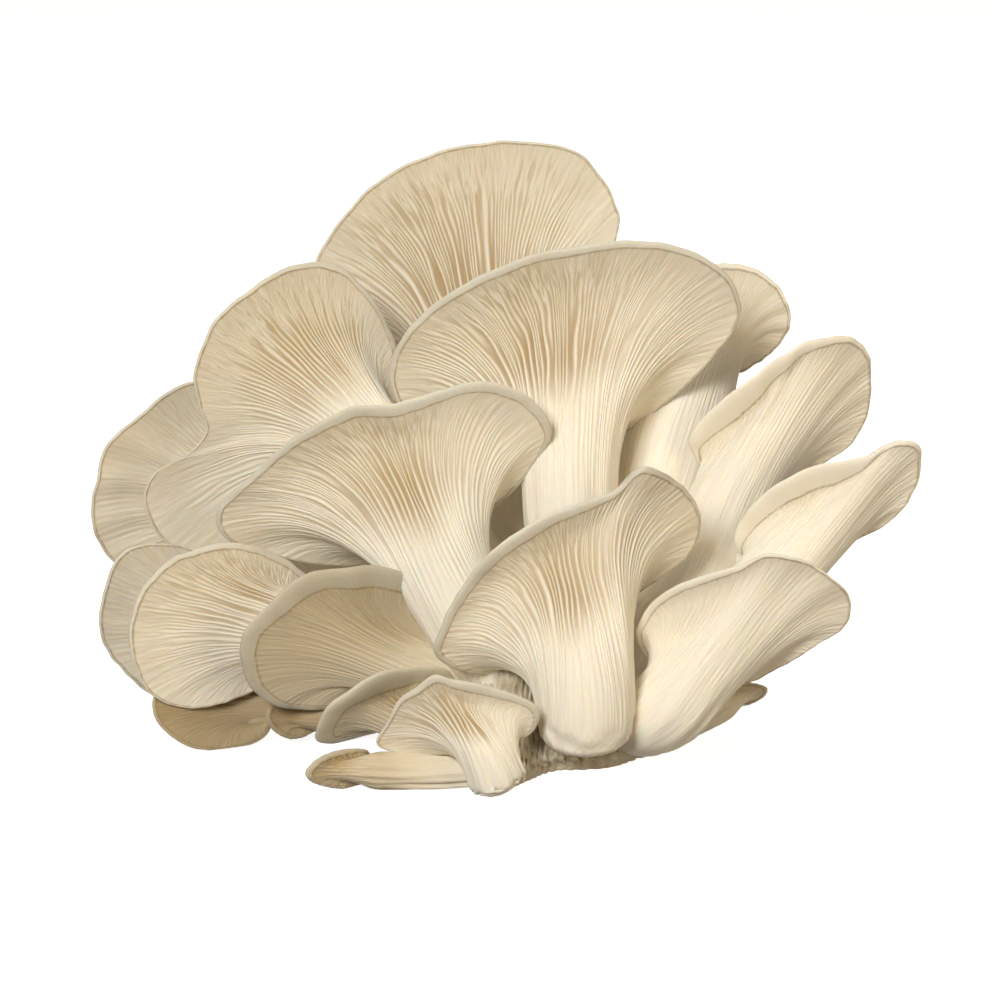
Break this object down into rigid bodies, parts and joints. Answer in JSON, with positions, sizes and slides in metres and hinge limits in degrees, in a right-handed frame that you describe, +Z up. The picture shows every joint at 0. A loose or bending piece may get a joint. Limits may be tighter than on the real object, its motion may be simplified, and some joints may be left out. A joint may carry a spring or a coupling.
{
  "type": "oyster mushroom cluster",
  "caption": "Cluster of cream oyster mushrooms with gilled trumpet caps, their stems grown together into one cut base that it rests on.",
  "frame": {"origin": "middle of the flat cut face under the base, on the surface the cluster rests on", "axes": "+Z up, +X to the right of someone who faces the gills, along the widest way across, +Y away from them"},
  "size_m": [0.2193, 0.1242, 0.1513],
  "materials": {
    "mushroom_flesh": "matte, slightly translucent flesh",
    "base_tissue": "matte, torn"
  },
  "bodies": {
    "root": {"mushroom_front_small": "mushroom_flesh", "mushroom_front_lying": "mushroom_flesh", "mushroom_front_centre": "mushroom_flesh", "mushroom_front_right": "mushroom_flesh", "mushroom_small_hooded": "mushroom_flesh", "mushroom_centre_left": "mushroom_flesh", "mushroom_left_shaded": "mushroom_flesh", "mushroom_far_right": "mushroom_flesh", "mushroom_upper_large": "mushroom_flesh", "mushroom_right_upper": "mushroom_flesh", "mushroom_left_round": "mushroom_flesh", "mushroom_left_button": "mushroom_flesh", "mushroom_left_bottom": "mushroom_flesh", "mushroom_right_button": "mushroom_flesh", "mushroom_upper_left": "mushroom_flesh", "mushroom_back_right": "mushroom_flesh", "mushroom_top_back": "mushroom_flesh", "mushroom_far_left": "mushroom_flesh", "mushroom_far_left_low": "mushroom_flesh", "cluster_base": "base_tissue"}
  },
  "joints": []
}
